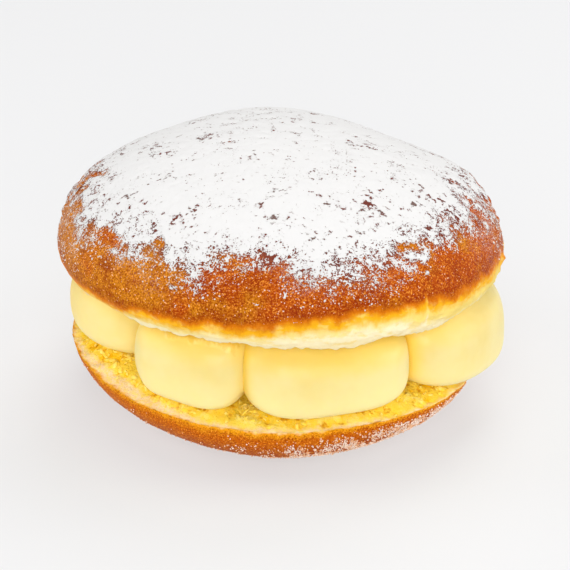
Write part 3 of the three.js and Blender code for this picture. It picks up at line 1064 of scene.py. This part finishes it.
def base_rim():
    """Bearing, radius and height of the sharp rim round the base's cut, in order of bearing."""
    shape = merged_copy("bottom_half")
    corners = {vertex for edge in sharp_edges(shape, BASE_SHARP) for vertex in edge.verts}
    points = np.array([vertex.co for vertex in corners])
    shape.free()
    bearing, radius = base_place(points)
    order = np.argsort(bearing)
    return bearing[order], radius[order], points[order, 2]


class BERLINER_OT_crumb_shreds(Operator):
    """Strew torn strands of crumb over the outer band of the base's cut."""

    bl_idname = "berliner.crumb_shreds"
    bl_label = "Crumb shreds"

    def execute(self, context):
        base = context.scene.berliner_base
        mesh = bpy.data.objects["base"].data
        fall = stored(mesh, "fall")
        weight = smooth_step(fall, -13, -8) * (0.15 + smooth_step(fall, -1.2, -4))
        weight *= smooth_step(fall, -0.8, -1.8)
        piece = strewn("crumb_shreds", mesh, weight, base.shreds, base.shred, **SHREDS)
        finish_piece(piece, shred_material(base), "base_dough")
        return {"FINISHED"}


class BERLINER_OT_sugar_crystals(Operator):
    """Scatter grains of sugar over the lower crust of the base."""

    bl_idname = "berliner.sugar_crystals"
    bl_label = "Sugar crystals"

    def execute(self, context):
        base = context.scene.berliner_base
        mesh = bpy.data.objects["base"].data
        points = points_of(mesh)
        bearing, _ = base_place(points)
        dense = near_side(bearing, "sugared") * (0.2 + 0.8 * smooth_step(bearing, -20, 14))
        dense += 0.02 + 0.5 * near_side(bearing, "back")
        clumps = smooth_step(lumps(points, 4 * MM, "sugar"), -0.4, 0.35)
        weight = dense * (0.2 + clumps) * smooth_step(stored(mesh, "fall"), 1.5, 6)
        weight *= smooth_step(points[:, 2], 0.6 * MM, 1.6 * MM)
        piece = strewn("sugar_crystals", mesh, weight, base.crystals, base.crystal, **CRYSTALS)
        finish_piece(piece, crystal_material(base), "powdered_sugar")
        piece.data.shade_flat()
        return {"FINISHED"}


class BERLINER_OT_stage(Operator):
    """Set the pale floor, the soft light and the camera."""

    bl_idname = "berliner.stage"
    bl_label = "Stage"

    def execute(self, context):
        stage = context.scene.berliner_stage
        self.add_floor(stage)
        self.add_light(context.scene, stage)
        self.add_camera(context.scene, stage)
        context.scene.view_settings.view_transform = "Standard"
        return {"FINISHED"}

    def add_floor(self, stage):
        """A wide plain floor at the height that the pastry rests on."""
        shape = bmesh.new()
        bmesh.ops.create_grid(shape, x_segments=1, y_segments=1, size=FLOOR_REACH)
        mesh = bpy.data.meshes.new("floor")
        shape.to_mesh(mesh)
        shape.free()
        floor = new_piece("floor", mesh)
        look = Looks("floor", 0.7, 0.1)
        look.set("Base Color", stage.floor)
        look.set("Emission Color", (1, 1, 1))
        look.set("Emission Strength", stage.glow)
        mesh.materials.append(look.material)

    def add_light(self, scene, stage):
        """Faint light from all round and five soft lamps."""
        world = bpy.data.worlds.new("studio")
        world.use_nodes = True
        sky = world.node_tree.nodes["Background"]
        sky.inputs["Color"].default_value = (1, 1, 1, 1)
        sky.inputs["Strength"].default_value = stage.sky
        scene.world = world
        for name, (bearing, elevation) in LAMP_PLACES.items():
            level = Euler((math.radians(-elevation), 0, math.radians(bearing)))
            place = Vector((0, -stage.lamp_distance, 0))
            place.rotate(level)
            lamp = bpy.data.lights.new(name, "AREA")
            lamp.shape = "DISK"
            lamp.size = stage.lamp_size
            lamp.energy = getattr(stage, name)
            self.aimed(lamp, place, -place)

    def aimed(self, data, place, towards):
        """A lamp or a camera at a place, which points in a direction."""
        thing = new_piece(data.name, data)
        thing.location = place
        thing.rotation_euler = towards.to_track_quat("-Z", "Y").to_euler()
        return thing

    def add_camera(self, scene, stage):
        """A camera straight in front, looking down."""
        lens = bpy.data.cameras.new("camera")
        lens.lens = lens.sensor_width * stage.distance / stage.view_width
        lens.clip_start = NEAR_CLIP
        back = Vector((0, -math.cos(stage.elevation), math.sin(stage.elevation)))
        scene.camera = self.aimed(lens, Vector(stage.aim) + back * stage.distance, -back)


class BERLINER_PT_panel(Panel):
    """Lists the steps in the sidebar."""

    bl_idname = "BERLINER_PT_panel"
    bl_label = "Berliner"
    bl_space_type = "VIEW_3D"
    bl_region_type = "UI"
    bl_category = "Berliner"

    def draw(self, context):
        for step in STEPS:
            self.layout.operator(step.bl_idname)


STEPS = (
    BERLINER_OT_crown,
    BERLINER_OT_powdered_sugar,
    BERLINER_OT_powder_flecks,
    BERLINER_OT_custard,
    BERLINER_OT_base,
    BERLINER_OT_crumb_shreds,
    BERLINER_OT_sugar_crystals,
    BERLINER_OT_stage,
)
GROUPS = {
    "berliner_crown": CrownLooks,
    "berliner_sugar": SugarLooks,
    "berliner_custard": CustardLooks,
    "berliner_base": BaseLooks,
    "berliner_stage": StageLooks,
}


def register():
    """Makes the settings, the steps and the panel known to Blender."""
    for name, group in GROUPS.items():
        bpy.utils.register_class(group)
        setattr(bpy.types.Scene, name, PointerProperty(type=group))
    for item in (*STEPS, BERLINER_PT_panel):
        bpy.utils.register_class(item)


def unregister():
    """Takes them away again."""
    for item in (BERLINER_PT_panel, *reversed(STEPS)):
        bpy.utils.unregister_class(item)
    for name, group in GROUPS.items():
        delattr(bpy.types.Scene, name)
        bpy.utils.unregister_class(group)


def main():
    """Registers the add-on and makes every piece in order."""
    register()
    for step in STEPS:
        getattr(bpy.ops.berliner, step.bl_idname.split(".")[1])()


if __name__ == "__main__":
    main()
